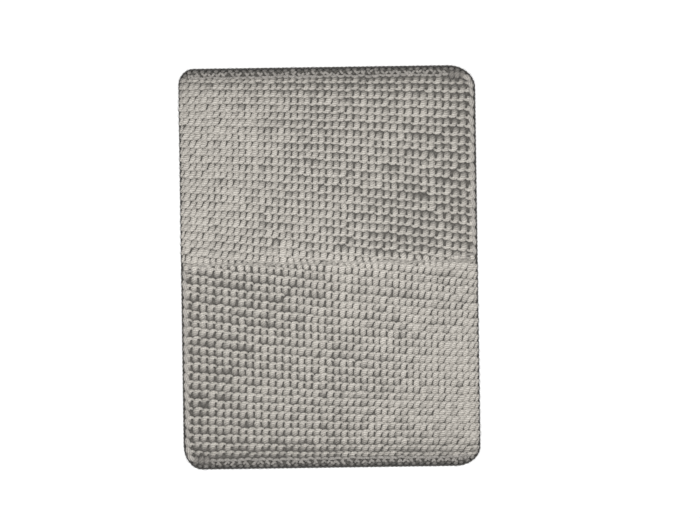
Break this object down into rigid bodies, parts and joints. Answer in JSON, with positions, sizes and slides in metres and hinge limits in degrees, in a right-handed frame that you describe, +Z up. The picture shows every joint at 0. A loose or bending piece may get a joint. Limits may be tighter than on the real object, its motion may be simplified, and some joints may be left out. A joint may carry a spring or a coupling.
{
  "type": "bath mat",
  "caption": "Padded bath mat: rounded rectangle with a chunky crocheted cotton face in two half panels over a foam core, corded foot and non-slip backing.",
  "frame": {"origin": "middle of the underside, on the floor", "axes": "+Z up through the mat's thickness, +Y along its length towards the back short end, +X along its width; the front panel has its braid on the -X side"},
  "size_m": [0.6, 0.81, 0.0216],
  "materials": {
    "cotton": "matte spun cotton yarn, warm light grey",
    "cotton_edge": "matte spun cotton yarn, a little greyer",
    "binding": "woven cotton tape, grey",
    "foam": "open-cell foam, cream",
    "backing": "plain-woven backing cloth, grey",
    "grip": "soft rubber dots, satin"
  },
  "bodies": {
    "root": {"grip_layer": "grip", "backing_cloth": "backing", "foam_core": "foam", "edge_binding": "binding", "cover_panel_front": "cotton", "cover_panel_back": "cotton", "centre_seam": "cotton", "side_braid_front": "cotton_edge", "side_braid_back": "cotton_edge", "end_roll_front": "cotton_edge", "end_roll_back": "cotton_edge"}
  },
  "joints": []
}
